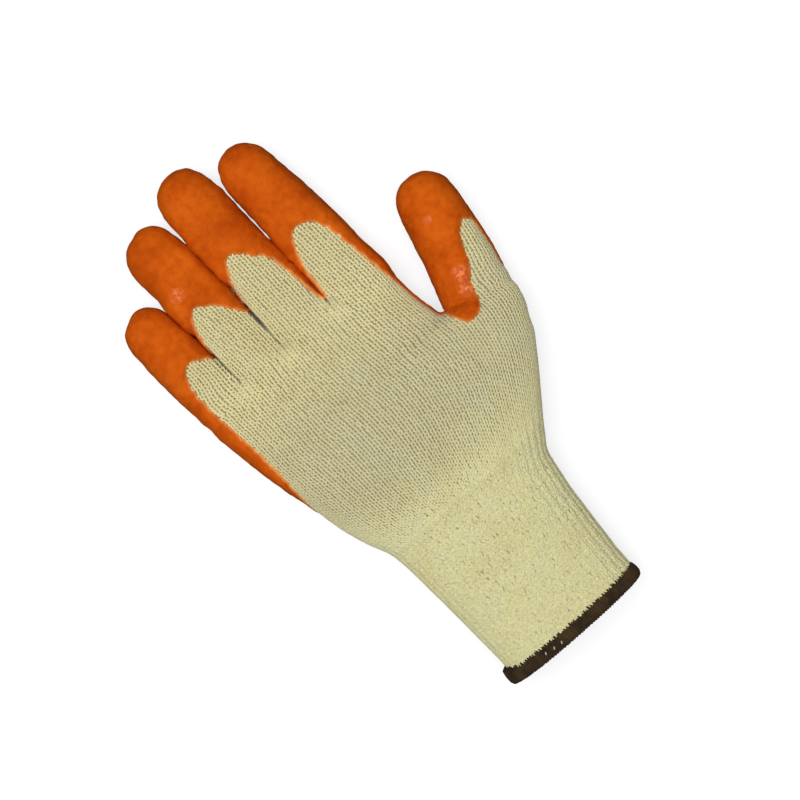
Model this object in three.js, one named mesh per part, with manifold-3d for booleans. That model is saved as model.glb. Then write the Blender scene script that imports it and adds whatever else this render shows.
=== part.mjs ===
// Latex coated grip glove for the left hand, lying palm down with its knitted back up.
// Millimetres. +Y runs from the cuff to the fingertips, +X points to the thumb, +Z is up.

import * as THREE from 'three';
import { mergeVertices } from 'three/addons/utils/BufferGeometryUtils.js';
import Module from 'manifold-3d';

const wasm = await Module();
wasm.setup();

// Walls and the clearance between touching pieces
const knitWall = 1.8;
const latexWall = 1;
const clearance = 0.3;

// Cuff and its overlocked hem
const cuffLength = 75;
const cuffWidth = 66;
const cuffThickness = 26;
const hemHeight = 6.5;
const hemWall = 1;
const hemTuck = 1.6;

// Palm, from the wrist to the roots of the fingers
const palmLength = 91;
const palmThickness = 31;
const knuckleShift = -11.2;

// Fingers: widths with the coating on, lengths from the finger roots, lean towards the thumb in degrees
const fingerGap = 0.5;
const fingerSizes = [
  { name: 'little', rootWidth: 23.2, tipWidth: 20.8, thickness: 18.5, length: 50.5, lean: -5.4 },
  { name: 'ring', rootWidth: 22, tipWidth: 24.4, thickness: 20.5, length: 74.5, lean: -3.8 },
  { name: 'middle', rootWidth: 24.8, tipWidth: 25.6, thickness: 21.5, length: 84, lean: -1.9 },
  { name: 'index', rootWidth: 28, tipWidth: 23.6, thickness: 21, length: 75.5, lean: -3.3 },
];

// Thumb: its seam lies at shares of the palm's width and length
const thumbSize = { name: 'thumb', rootWidth: 31, tipWidth: 25.6, thickness: 23, length: 52.5, lean: 11 };
const thumbAcross = 0.59;
const thumbAlong = 0.637;

// Facets round the hand and round a finger, and the shortest edge that a join or cut may leave
const handSides = 32;
const fingerSides = 16;
const meshTolerance = 0.01;

// The surface that the glove lies on touches the coating, so the knit starts one coating above it
const knitFloor = latexWall + clearance;
const coatOuter = latexWall + clearance;
const coatInner = clearance;
const knitInner = -knitWall;

// Row of finger roots, from the little finger to the index finger
const rowWidth = fingerSizes.reduce((sum, finger) => sum + finger.rootWidth, 0)
  + fingerGap * (fingerSizes.length - 1);
const rowStart = knuckleShift - rowWidth / 2;
const fingerLine = cuffLength + palmLength;

// Sections of the cuff: along in shares of its length, sides in shares of its width
const cuffSections = [
  { along: 0.03, left: -0.508, right: 0.492, peak: 0, thick: 1 },
  { along: 0.2, left: -0.512, right: 0.488, peak: 0, thick: 1 },
  { along: 0.53, left: -0.533, right: 0.515, peak: 0, thick: 1.02 },
  { along: 0.87, left: -0.561, right: 0.573, peak: -0.01, thick: 1.06 },
];

// Sections of the palm: along in shares of its length, sides in shares of the row of fingers,
// mound in shares of the thumb's width, front is 1 where a section closes the form ahead
const palmSections = [
  { along: 0, left: -0.384, right: 0.376, mound: 0.21, peak: -0.01, thick: 0.92, rise: 0, front: 0 },
  { along: 0.11, left: -0.429, right: 0.379, mound: 0.43, peak: -0.03, thick: 0.97, rise: 0, front: 0 },
  { along: 0.22, left: -0.464, right: 0.381, mound: 0.66, peak: -0.05, thick: 1.01, rise: 0, front: 0 },
  { along: 0.33, left: -0.487, right: 0.384, mound: 0.875, peak: -0.07, thick: 1.03, rise: 0, front: 0 },
  { along: 0.44, left: -0.507, right: 0.387, mound: 0.99, peak: -0.09, thick: 1.03, rise: 0, front: 0 },
  { along: 0.545, left: -0.526, right: 0.39, mound: 1.06, peak: -0.1, thick: 1.02, rise: 0, front: 1 },
  { along: 0.6, left: -0.538, right: 0.392, mound: 0.66, peak: -0.11, thick: 1, rise: 0, front: 1 },
  { along: 0.645, left: -0.547, right: 0.388, mound: 0.06, peak: -0.11, thick: 0.96, rise: 0, front: 1 },
  { along: 0.824, left: -0.577, right: 0.375, mound: 0, peak: -0.11, thick: 0.84, rise: 0, front: 1 },
  { along: 0.91, left: -0.59, right: 0.368, mound: 0, peak: -0.11, thick: 0.73, rise: 0.02, front: 1 },
  { along: 0.965, left: -0.588, right: 0.363, mound: 0, peak: -0.11, thick: 0.6, rise: 0.06, front: 1 },
  { along: 1, left: -0.57, right: 0.346, mound: 0, peak: -0.11, thick: 0.38, rise: 0.16, front: 1 },
];

// Round end of a finger: angles from its last full section, and its length as a share of the width
const tipTurns = [28, 53, 74, 86];
const tipLength = 0.46;
const tipBluntness = 0.86;

// Upper edge of the bath line on the back of the hand, in shares of the row of fingers and of the palm
const littleSideEdge = [
  { across: -0.62, along: 0.32 },
  { across: -0.512, along: 0.36 },
  { across: -0.501, along: 0.49 },
  { across: -0.506, along: 0.66 },
  { across: -0.521, along: 0.82 },
];
const indexSideEdge = [
  { across: 0.366, along: 0.85 },
  { across: 0.379, along: 0.77 },
  { across: 0.395, along: 0.65 },
];

// Knit left bare on each finger's back: along in shares of its length, across in shares of half its width
const bareTongues = {
  little: [[0.02, -0.4], [0.24, -0.4], [0.38, -0.14], [0.395, 0.3], [0.3, 0.72], [0.14, 0.86]],
  ring: [[0.18, -1.04], [0.34, -0.84], [0.455, -0.5], [0.475, -0.2], [0.4, 0.4], [0.28, 0.76], [0.15, 0.95]],
  middle: [[0.16, -1.05], [0.36, -0.88], [0.48, -0.55], [0.5, -0.25], [0.42, 0.3], [0.34, 0.68], [0.08, 0.93]],
  index: [[0.08, -0.94], [0.26, -0.8], [0.4, -0.48], [0.44, -0.18], [0.4, 0.26], [0.3, 0.5], [0.14, 0.6]],
};
const bareThumb = [[-0.19, -0.75], [-0.16, -0.36], [0.03, -0.08], [0.2, 0.16], [0.39, 0.3], [0.48, 0.56],
  [0.44, 0.8], [0.3, 0.9], [0.14, 1.1]];

// Height at which the bath line passes from the palm to the back, and where the coating is cut from
const backEdgeHeight = 0.36 * palmThickness;
const coatStart = 0.8;

// Lower edge of the coating across the palm
const palmEdge = [
  { across: -0.62, along: 0.33 },
  { across: -0.46, along: 0.24 },
  { across: -0.26, along: 0.13 },
  { across: 0.02, along: 0.08 },
  { across: 0.3, along: 0.16 },
  { across: 0.52, along: 0.33 },
  { across: 0.7, along: 0.58 },
  { across: 0.9, along: 0.74 },
];

// One cross-section: widest at sideShare of its height, flat where it lies on the surface below
const sideShare = 0.43;
const topRoundness = 2.25;
const underRoundness = 2.9;
const underFlat = 1.07;

function sectionRing(section, offset, sides) {
  const { x, y, lean, left, right, thick, rise } = section;
  const turn = THREE.MathUtils.degToRad(lean);
  const floor = knitFloor + rise;
  const side = floor + thick * sideShare;
  const above = thick * (1 - sideShare) + offset;
  const below = thick * sideShare + offset;
  const points = [];
  for (let i = 0; i < sides; i += 1) {
    const angle = (2 * Math.PI * i) / sides;
    const up = Math.sin(angle);
    const out = Math.cos(angle);
    const power = 2 / (up < 0 ? underRoundness : topRoundness);
    const half = (out < 0 ? left : right) + offset;
    const across = half * Math.sign(out) * Math.abs(out) ** power;
    const height = Math.sign(up) * Math.abs(up) ** power;
    const z = up < 0 ? Math.max(side + below * underFlat * height, floor - offset) : side + above * height;
    points.push(new THREE.Vector3(x + across * Math.cos(turn), y - across * Math.sin(turn), z));
  }
  return points;
}

// Closed body through a row of rings, with a fan over each end
function loft(rings) {
  const sides = rings[0].length;
  const points = rings.flat();
  const faces = [];
  for (let i = 0; i < rings.length - 1; i += 1) {
    for (let j = 0; j < sides; j += 1) {
      const a = i * sides + j;
      const b = i * sides + (j + 1) % sides;
      faces.push(a, a + sides, b + sides, a, b + sides, b);
    }
  }
  for (const [first, flip] of [[0, false], [points.length - sides, true]]) {
    const centre = new THREE.Vector3();
    for (let j = 0; j < sides; j += 1) centre.addScaledVector(points[first + j], 1 / sides);
    const hub = points.push(centre) - 1;
    for (let j = 0; j < sides; j += 1) {
      const a = first + j;
      const b = first + (j + 1) % sides;
      faces.push(...(flip ? [hub, b, a] : [hub, a, b]));
    }
  }
  const geometry = new THREE.BufferGeometry().setFromPoints(points);
  geometry.setIndex(faces);
  return geometry;
}

function solid(geometry) {
  const bare = geometry.clone();
  bare.deleteAttribute('normal');
  bare.deleteAttribute('uv');
  const merged = mergeVertices(bare);
  return new wasm.Manifold(new wasm.Mesh({
    numProp: 3,
    vertProperties: merged.attributes.position.array,
    triVerts: new Uint32Array(merged.index.array),
    tolerance: meshTolerance,
  }));
}

function join(solids) {
  return solids.reduce((sum, next) => sum.add(next));
}

function geometryOf(body) {
  const mesh = body.getMesh();
  const geometry = new THREE.BufferGeometry();
  geometry.setAttribute('position', new THREE.BufferAttribute(mesh.vertProperties, 3));
  geometry.setIndex(new THREE.BufferAttribute(mesh.triVerts, 1));
  const flat = geometry.toNonIndexed();
  flat.computeVertexNormals();
  return flat;
}

// Section halfway between two others
function between(a, b, share) {
  const mixed = {};
  for (const key of Object.keys(a)) mixed[key] = THREE.MathUtils.lerp(a[key], b[key], share);
  return mixed;
}

// Every section of the cuff and palm at its real size
function handSections(offset) {
  const cuff = cuffSections.map((row) => ({
    x: row.peak * cuffWidth,
    y: row.along * cuffLength,
    lean: 0,
    left: (row.peak - row.left) * cuffWidth,
    right: (row.right - row.peak) * cuffWidth,
    thick: row.thick * cuffThickness,
    rise: 0,
  }));
  const palm = palmSections.map((row) => ({
    x: row.peak * rowWidth,
    y: cuffLength + row.along * palmLength + row.front * offset,
    lean: 0,
    left: (row.peak - row.left) * rowWidth,
    right: (row.right - row.peak) * rowWidth + row.mound * thumbSize.rootWidth,
    thick: row.thick * palmThickness,
    rise: row.rise * palmThickness,
  }));
  return [...cuff, ...palm];
}

// The section at one distance from the rim, which keeps its form on past the first one
function sectionAt(sections, y) {
  const next = Math.max(1, sections.findIndex((section) => section.y >= y));
  const [a, b] = [sections[next - 1], sections[next]];
  return { ...between(a, b, Math.max(0, (y - a.y) / (b.y - a.y))), y };
}

// The cuff and palm between two distances from the rim, or on to the roots of the fingers
function handBody(offset, from, to = Infinity) {
  const sections = handSections(offset);
  const stops = sections.filter((section) => section.y > from && section.y < to);
  if (to < Infinity) stops.push(sectionAt(sections, to));
  const all = [sectionAt(sections, from), ...stops];
  return solid(loft(all.map((section) => sectionRing(section, offset, handSides))));
}

// A finger's axis starts at its root and leans by its own angle
function placeFingers() {
  let edge = rowStart;
  const fingers = fingerSizes.map((size) => {
    const rootX = edge + size.rootWidth / 2;
    edge += size.rootWidth + fingerGap;
    return { ...size, rootX, rootY: fingerLine };
  });
  const thumb = {
    ...thumbSize,
    rootX: thumbAcross * rowWidth,
    rootY: cuffLength + thumbAlong * palmLength,
  };
  return [...fingers, thumb];
}

// A finger starts inside the palm, a share of its length behind its root and a little smaller there
const rootDepth = 0.28;
const rootTuck = 0.25;
const rootRise = 0.9;
const rootFullness = 1.08;
const tipFullness = 0.93;
const seamPlace = 2.2;
const digits = placeFingers();

function digitPoint(digit, along, across) {
  const turn = THREE.MathUtils.degToRad(digit.lean);
  return new THREE.Vector2(
    digit.rootX + along * Math.sin(turn) + across * Math.cos(turn),
    digit.rootY + along * Math.cos(turn) - across * Math.sin(turn),
  );
}

function digitReach(digit) {
  return digit.length - coatOuter - tipLength * digit.tipWidth;
}

function digitSection(digit, along) {
  const centre = digitPoint(digit, along, 0);
  const share = THREE.MathUtils.clamp(along / digitReach(digit), 0, 1);
  const tuck = rootTuck * THREE.MathUtils.clamp(-along / (rootDepth * digit.length), 0, 1);
  const half = THREE.MathUtils.lerp(digit.rootWidth, digit.tipWidth, share) / 2 - coatOuter;
  const full = digit.thickness * THREE.MathUtils.lerp(rootFullness, tipFullness, share) - 2 * coatOuter;
  return {
    x: centre.x,
    y: centre.y,
    lean: digit.lean,
    left: half * (1 - tuck),
    right: half * (1 - tuck),
    thick: full * (1 - tuck),
    rise: full * tuck * rootRise,
  };
}

// The last full section turned through an angle towards the end of the round tip
function tipSection(digit, offset, degrees) {
  const turn = THREE.MathUtils.degToRad(degrees);
  const shrink = Math.cos(turn) ** tipBluntness;
  const ahead = (tipLength * digit.tipWidth + offset) * Math.sin(turn);
  const full = digitSection(digit, digitReach(digit));
  const centre = digitPoint(digit, digitReach(digit) + ahead, 0);
  return {
    x: centre.x,
    y: centre.y,
    lean: digit.lean,
    left: (full.left + offset) * shrink - offset,
    right: (full.right + offset) * shrink - offset,
    thick: (full.thick + 2 * offset) * shrink - 2 * offset,
    rise: (full.thick + 2 * offset) * (1 - shrink) * sideShare,
  };
}

// A finger or the thumb between two distances along its axis, or on to its round tip
function digitBody(digit, offset, from, to = Infinity) {
  const reach = digitReach(digit);
  const stops = [0, reach / 2, reach].filter((along) => along > from && along < to);
  if (to < Infinity) stops.push(to);
  const sections = [from, ...stops].map((along) => digitSection(digit, along));
  if (to === Infinity) sections.push(...tipTurns.map((degrees) => tipSection(digit, offset, degrees)));
  return solid(loft(sections.map((section) => sectionRing(section, offset, fingerSides))));
}

// Open tube of a stall: its outside less its inside
function stall(digit) {
  const outside = digitBody(digit, 0, seamPlace + clearance);
  const inside = digitBody(digit, knitInner, seamPlace - knitWall);
  return outside.subtract(inside);
}

function knittedHand() {
  const wrist = cuffLength + clearance;
  const outside = [handBody(0, wrist)];
  const inside = [handBody(knitInner, wrist - knitWall)];
  for (const digit of digits) {
    const root = -rootDepth * digit.length;
    outside.push(digitBody(digit, 0, root, seamPlace));
    inside.push(digitBody(digit, knitInner, root, seamPlace + knitWall));
  }
  return join(outside).subtract(join(inside));
}

function knittedCuff() {
  const edge = hemTuck + clearance;
  const outside = handBody(0, edge, cuffLength);
  return outside.subtract(handBody(knitInner, edge - knitWall, cuffLength + knitWall));
}

// Flat outline to a straight-sided block between two heights
function block(points, low, high) {
  const shape = new THREE.Shape(points);
  const geometry = new THREE.ExtrudeGeometry(shape, { depth: high - low, bevelEnabled: false });
  geometry.translate(0, 0, low);
  return solid(geometry);
}

function palmPoint({ across, along }) {
  return new THREE.Vector2(across * rowWidth, cuffLength + along * palmLength);
}

function smooth(points, pieces) {
  return new THREE.SplineCurve(points).getPoints(pieces * (points.length - 1));
}

// Two corners past the rim of the cuff close the outline of the bare knit
const rimCorners = [new THREE.Vector2(rowWidth, 0), new THREE.Vector2(-rowWidth, 0)];

// Everything on the back that the bath of latex never reached
function bareBack(high) {
  const tongue = (digit, rows) => rows.map(([along, across]) => {
    return digitPoint(digit, along * digit.length, (across * digit.rootWidth) / 2);
  });
  const fingers = digits.slice(0, -1).flatMap((digit) => tongue(digit, bareTongues[digit.name]));
  const thumb = tongue(digits.at(-1), bareThumb);
  const edge = [
    ...littleSideEdge.map(palmPoint),
    ...fingers,
    ...indexSideEdge.map(palmPoint),
    ...thumb,
  ];
  return block([...smooth(edge, 2), ...rimCorners], backEdgeHeight, high);
}

function barePalm() {
  return block([...smooth(palmEdge.map(palmPoint), 2), ...rimCorners], -palmThickness, backEdgeHeight);
}

function latexCoating() {
  const layer = (offset) => {
    const bodies = digits.map((digit) => digitBody(digit, offset, -rootDepth * digit.length));
    return join([handBody(offset, coatStart * cuffLength), ...bodies]);
  };
  const coat = layer(coatOuter).subtract(layer(coatInner));
  return coat.subtract(bareBack(2 * palmThickness)).subtract(barePalm());
}

// Overlocked hem: thread wrapped round the rim of the cuff, inside and out.
// Along is a share of its height, sink a share of its wall
const hemSections = [
  { along: 0, sink: 0.5 },
  { along: 0.2, sink: 0 },
  { along: 0.85, sink: 0 },
  { along: 1, sink: 0.4 },
];

function cuffHem() {
  const ringAt = (y, offset) => {
    return sectionRing(sectionAt(handSections(0), y), offset, handSides);
  };
  const wrap = hemSections.map(({ along, sink }) => {
    return ringAt(along * hemHeight, coatOuter - sink * hemWall);
  });
  const tucked = knitInner - clearance;
  const past = 2 * hemHeight;
  const channel = solid(loft([ringAt(hemTuck, clearance), ringAt(past, clearance)]))
    .subtract(solid(loft([ringAt(0, tucked), ringAt(2 * past, tucked)])));
  const mouth = solid(loft([ringAt(-past, tucked - hemWall), ringAt(past, tucked - hemWall)]));
  return solid(loft(wrap)).subtract(channel).subtract(mouth);
}

const knitMaterial = new THREE.MeshStandardMaterial({ color: '#c2bb8e', roughness: 0.95, metalness: 0 });
const cuffMaterial = new THREE.MeshStandardMaterial({ color: '#bdb68b', roughness: 0.95, metalness: 0 });
const latexMaterial = new THREE.MeshStandardMaterial({ color: '#c5580d', roughness: 0.5, metalness: 0 });
const hemMaterial = new THREE.MeshStandardMaterial({ color: '#473d29', roughness: 0.9, metalness: 0 });

const glove = new THREE.Group();

function place(name, body, material) {
  const mesh = new THREE.Mesh(geometryOf(body), material);
  mesh.name = name;
  glove.add(mesh);
}

place('knit_hand', knittedHand(), knitMaterial);
for (const digit of digits) place(`${digit.name}_stall`, stall(digit), knitMaterial);
place('knit_cuff', knittedCuff(), cuffMaterial);
place('cuff_hem', cuffHem(), hemMaterial);
place('latex_coating', latexCoating(), latexMaterial);

// The origin lies under the middle of the glove, on the surface that it rests on
const extent = new THREE.Box3().setFromObject(glove);
const middle = extent.getCenter(new THREE.Vector3());
glove.position.set(-middle.x, -middle.y, -extent.min.z);

export default glove;
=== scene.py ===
"""Looks of the latex coated glove: knit, crinkled latex, overlocked hem, light and camera.

Shapes are worked out in millimetres from the cuff's rim, in the same directions as the CAD:
+Y runs to the fingertips, +X to the thumb, +Z up through the back of the hand.
"""

import math

import bmesh
import bpy
import numpy as np
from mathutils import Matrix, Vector
from mathutils.bvhtree import BVHTree


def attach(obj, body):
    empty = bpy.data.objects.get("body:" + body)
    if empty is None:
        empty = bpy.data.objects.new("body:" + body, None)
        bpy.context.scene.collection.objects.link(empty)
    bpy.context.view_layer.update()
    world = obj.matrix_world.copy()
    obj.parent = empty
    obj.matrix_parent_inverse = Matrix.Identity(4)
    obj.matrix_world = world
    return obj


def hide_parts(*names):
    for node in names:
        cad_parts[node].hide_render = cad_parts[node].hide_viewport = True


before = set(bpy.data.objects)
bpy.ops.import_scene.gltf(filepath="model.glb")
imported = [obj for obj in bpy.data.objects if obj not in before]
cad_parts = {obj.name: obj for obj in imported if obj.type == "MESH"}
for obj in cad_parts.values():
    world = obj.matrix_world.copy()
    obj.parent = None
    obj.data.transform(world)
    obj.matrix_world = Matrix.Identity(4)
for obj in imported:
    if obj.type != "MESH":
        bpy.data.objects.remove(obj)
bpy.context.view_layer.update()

MM = 0.001
random = np.random.default_rng(7)

# The rim's middle, in millimetres, from the CAD's origin
RIM = np.array([-7.68, -124.98, 0.0])

KNIT_NODES = [
    "knit_hand", "knit_cuff", "little_stall", "ring_stall", "middle_stall", "index_stall", "thumb_stall",
]


def to_row(points):
    return (np.asarray(points, float) + RIM) * MM


def to_hand(points):
    return np.asarray(points, float) / MM - RIM


# Sizes of the hand

CUFF_LENGTH = 75.0
PALM_LENGTH = 91.0
ROW_WIDTH = 99.5
# Height on the glove's sides where the bath line of the back turns into that of the palm
BACK_EDGE_HEIGHT = 11.2

# Each finger: middle of its root, width there, length, lean towards the thumb in degrees, and wales
DIGITS = {
    "little": {"x": -49.35, "y": 166.0, "width": 23.2, "length": 50.5, "lean": -5.4, "wales": 9},
    "ring": {"x": -26.25, "y": 166.0, "width": 22.0, "length": 74.5, "lean": -3.8, "wales": 8},
    "middle": {"x": -2.35, "y": 166.0, "width": 24.8, "length": 84.0, "lean": -1.9, "wales": 9},
    "index": {"x": 24.55, "y": 166.0, "width": 28.0, "length": 75.5, "lean": -3.3, "wales": 10},
    "thumb": {"x": 58.7, "y": 132.97, "width": 31.0, "length": 52.5, "lean": 11.0, "wales": 13},
}
FINGERS = ["little", "ring", "middle", "index"]

# Bath line on the back, in shares of the row of fingers and of the palm
LITTLE_SIDE = [(-0.62, 0.32), (-0.512, 0.36), (-0.501, 0.49), (-0.506, 0.66), (-0.521, 0.82)]
INDEX_SIDE = [(0.37, 0.87), (0.402, 0.79), (0.421, 0.655)]

# Knit left bare on each finger: shares of its length and of half its width
TONGUES = {
    "little": [
        (0.02, -0.4), (0.24, -0.32), (0.34, -0.1), (0.395, 0.1), (0.39, 0.4), (0.335, 0.74), (0.3, 0.98),
    ],
    "ring": [
        (0.24, -1.08), (0.34, -0.96), (0.42, -0.76), (0.47, -0.45), (0.475, -0.2), (0.41, 0.32),
        (0.34, 0.66), (0.29, 0.88), (0.27, 1.02),
    ],
    "middle": [
        (0.27, -1.06), (0.33, -1.0), (0.39, -0.9), (0.48, -0.55), (0.5, -0.25), (0.42, 0.3), (0.34, 0.68),
        (0.08, 0.93),
    ],
    "index": [
        (0.08, -0.94), (0.26, -0.8), (0.4, -0.48), (0.44, -0.18), (0.4, 0.26), (0.3, 0.5), (0.14, 0.6),
    ],
    "thumb": [
        (-0.19, -0.72), (-0.185, -0.32), (-0.1, -0.12), (0.03, -0.07), (0.2, 0.16), (0.39, 0.3), (0.5, 0.54),
        (0.47, 0.8), (0.38, 0.93), (0.26, 1.1),
    ],
}

# Bath line across the palm, in the same shares as on the back
PALM_SIDE = [
    (-0.62, 0.33), (-0.46, 0.24), (-0.26, 0.13), (0.02, 0.08), (0.3, 0.16), (0.52, 0.33),
    (0.7, 0.58), (0.9, 0.74),
]


def palm_point(across, along):
    return np.array([across * ROW_WIDTH, CUFF_LENGTH + along * PALM_LENGTH])


def digit_point(name, along, across):
    digit = DIGITS[name]
    turn = math.radians(digit["lean"])
    return np.array([
        digit["x"] + along * math.sin(turn) + across * math.cos(turn),
        digit["y"] + along * math.cos(turn) - across * math.sin(turn),
    ])


def tongue(name):
    digit = DIGITS[name]
    return [
        digit_point(name, along * digit["length"], across * digit["width"] / 2)
        for along, across in TONGUES[name]
    ]


CURVE_STEPS = 8


def smooth_line(points):
    """Catmull-Rom curve through the points."""
    points = np.array(points)
    padded = np.vstack([2 * points[0] - points[1], points, 2 * points[-1] - points[-2]])
    line = []
    for i in range(1, len(padded) - 2):
        a, b, c, d = padded[i - 1:i + 3]
        for t in np.arange(CURVE_STEPS) / CURVE_STEPS:
            line.append(0.5 * (
                2 * b + (c - a) * t + (2 * a - 5 * b + 4 * c - d) * t ** 2
                + (3 * b - a - 3 * c + d) * t ** 3
            ))
    line.append(points[-1])
    return np.array(line)


def closed_past_rim(points):
    far = 3 * CUFF_LENGTH
    corners = np.array([[2 * ROW_WIDTH, points[-1][1]], [2 * ROW_WIDTH, -far], [-2 * ROW_WIDTH, -far],
                        [-2 * ROW_WIDTH, points[0][1]]])
    return np.vstack([smooth_line(points), corners])


BACK_OUTLINE = closed_past_rim(
    [palm_point(*p) for p in LITTLE_SIDE]
    + [p for name in FINGERS for p in tongue(name)]
    + [palm_point(*p) for p in INDEX_SIDE]
    + tongue("thumb")
)
PALM_OUTLINE = closed_past_rim([palm_point(*p) for p in PALM_SIDE])


def outside_distance(points, outline):
    """Distance in plan to an outline: above 0 outside it, below 0 inside."""
    best = np.full(len(points), 1e9)
    inside = np.zeros(len(points), bool)
    x, y = points[:, 0], points[:, 1]
    for a, b in zip(outline, np.roll(outline, -1, axis=0)):
        edge = b - a
        share = np.clip(((points - a) @ edge) / max(edge @ edge, 1e-9), 0, 1)
        gap = points - a - share[:, None] * edge
        best = np.minimum(best, (gap ** 2).sum(1))
        crosses = (a[1] > y) != (b[1] > y)
        if crosses.any():
            inside ^= crosses & (x < a[0] + (y - a[1]) * edge[0] / (edge[1] if edge[1] else 1e-9))
    return np.sqrt(best) * np.where(inside, -1, 1)


def ramp(value, low, high):
    share = np.clip((value - low) / (high - low), 0, 1)
    return share * share * (3 - 2 * share)


def lumps(points, size, seed):
    """Smooth random heights between about -1 and 1, with features of one size."""
    draw = np.random.default_rng(seed)
    total = np.zeros(len(points))
    for _ in range(10):
        way = draw.normal(size=points.shape[1])
        way /= np.linalg.norm(way)
        total += np.sin(points @ way * 2 * np.pi / (size * draw.uniform(0.75, 1.5)) + draw.uniform(0, 6.28))
    return total / 4


def crotch_lines():
    """Lines in plan between neighbouring fingers, each from its crotch towards the tips."""
    lines = []
    for a, b in zip(FINGERS[:-1], FINGERS[1:]):
        x = (DIGITS[a]["x"] + DIGITS[a]["width"] / 2 + DIGITS[b]["x"] - DIGITS[b]["width"] / 2) / 2
        lean = math.radians((DIGITS[a]["lean"] + DIGITS[b]["lean"]) / 2)
        start = np.array([x, DIGITS[a]["y"]])
        lines.append((start, np.array([math.sin(lean), math.cos(lean)])))
    return lines


CROTCHES = crotch_lines()
# How far past its crotch each pair of fingers lies close together
CLOSE_UNTIL = [46.0, 58.0, 36.0]
# Stretch before a crotch over which its line sets in, and half of the stretch over which it ends
LINE_STARTS = (-9, -3)
LINE_FADE = 4


def near_crotch(points, inner, outer, ends):
    """From 1 on the lines between the fingers to 0 away from them."""
    total = np.zeros(len(points))
    for (start, way), end in zip(CROTCHES, ends):
        gap = points[:, :2] - start
        along = gap @ way
        across = np.abs(gap @ np.array([way[1], -way[0]]))
        share = (1 - ramp(across, inner, outer)) * ramp(along, *LINE_STARTS)
        share *= 1 - ramp(along, end - LINE_FADE, end + LINE_FADE)
        total = np.maximum(total, share)
    return total


# How much lower the bath line of the back turns between the fingers, and how far past their crotches
CROTCH_DIP = 6.5
DIP_ENDS = [40.0, 40.0, 40.0]
# Half of the height over which it turns
LINE_TURN = 3


def dip_depth(points):
    """How far inside the bath of latex each point lies, in plan; below 0 is bare knit."""
    back = outside_distance(points[:, :2], BACK_OUTLINE)
    palm = outside_distance(points[:, :2], PALM_OUTLINE)
    level = BACK_EDGE_HEIGHT - CROTCH_DIP * near_crotch(points, 4.0, 8.0, DIP_ENDS)
    upper = ramp(points[:, 2], level - LINE_TURN, level + LINE_TURN)
    return upper * back + (1 - upper) * palm


# Mesh helpers

def link(name, mesh):
    obj = bpy.data.objects.new(name, mesh)
    bpy.context.scene.collection.objects.link(obj)
    return obj


def mesh_from(name, points, faces):
    mesh = bpy.data.meshes.new(name)
    mesh.from_pydata(to_row(points).tolist(), [], faces)
    mesh.shade_smooth()
    return mesh


def evaluated(obj):
    """The object's mesh with its modifiers applied; the object itself goes."""
    bpy.context.view_layer.update()
    mesh = bpy.data.meshes.new_from_object(obj.evaluated_get(bpy.context.evaluated_depsgraph_get()))
    bpy.data.objects.remove(obj)
    return mesh


def mesh_points(mesh):
    flat = np.empty(len(mesh.vertices) * 3)
    mesh.vertices.foreach_get("co", flat)
    return to_hand(flat.reshape(-1, 3))


def mesh_normals(mesh):
    flat = np.empty(len(mesh.vertices) * 3)
    mesh.vertices.foreach_get("normal", flat)
    return flat.reshape(-1, 3)


def set_points(mesh, points):
    mesh.vertices.foreach_set("co", to_row(points).ravel())
    mesh.update()


# The knitted zones grow by this, so that they join
SEAM_CLOSE = 0.25 * MM
# Voxel in millimetres and rounds of smoothing, for the outer surface and for the liner
FINE_FORM = (0.88, 20)
LINER_FORM = (1.3, 9)


def knit_shell(voxel, rounds):
    """The knitted zones as one hollow soft form."""
    bm = bmesh.new()
    for name in KNIT_NODES:
        bm.from_mesh(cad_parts[name].data)
    bmesh.ops.remove_doubles(bm, verts=bm.verts, dist=1e-6)
    bm.normal_update()
    for vert in bm.verts:
        vert.co += vert.normal * SEAM_CLOSE
    mesh = bpy.data.meshes.new("knit_form")
    bm.to_mesh(mesh)
    bm.free()
    obj = link("knit_form", mesh)
    remesh = obj.modifiers.new("remesh", "REMESH")
    remesh.mode = "VOXEL"
    remesh.voxel_size = voxel * MM
    relax = obj.modifiers.new("relax", "SMOOTH")
    relax.factor = 0.5
    relax.iterations = rounds
    return evaluated(obj)


# Where the outer surface starts, under the hem
SKIN_START = 3.5


def outer_vertices(mesh):
    """Marks the vertices of the outer surface, from under the hem to the fingertips."""
    points = mesh_points(mesh)
    count = len(points)
    edges = np.empty(len(mesh.edges) * 2, int)
    mesh.edges.foreach_get("vertices", edges)
    edges = edges.reshape(-1, 2)
    kept = points[:, 1] > SKIN_START
    edges = edges[kept[edges].all(1)]
    order = np.argsort(np.concatenate([edges[:, 0], edges[:, 1]]), kind="stable")
    ends = np.concatenate([edges[:, 1], edges[:, 0]])[order]
    starts = np.searchsorted(np.concatenate([edges[:, 0], edges[:, 1]])[order], np.arange(count + 1))
    found = np.zeros(count, bool)
    front = [int(np.argmax(np.where(kept, points[:, 2], -1e9)))]
    found[front[0]] = True
    while front:
        reached = []
        for vertex in front:
            for other in ends[starts[vertex]:starts[vertex + 1]]:
                if not found[other]:
                    found[other] = True
                    reached.append(other)
        front = reached
    return found


def face_array(mesh):
    corners = np.empty(len(mesh.loops), int)
    mesh.loops.foreach_get("vertex_index", corners)
    return corners.reshape(-1, 4)


# The knitted fingers swell until they touch where the latex leaves them bare, most of all at their roots
SWELL = 1.35
SWELL_ENDS = [26.0, 30.0, 22.0]
ROOT_SWELL = 0.7
ROOT_ENDS = [16.0, 21.0, 5.0]
# Heights between which the swelling sets in
SWELL_HEIGHTS = (2.0, 6.0)
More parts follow.
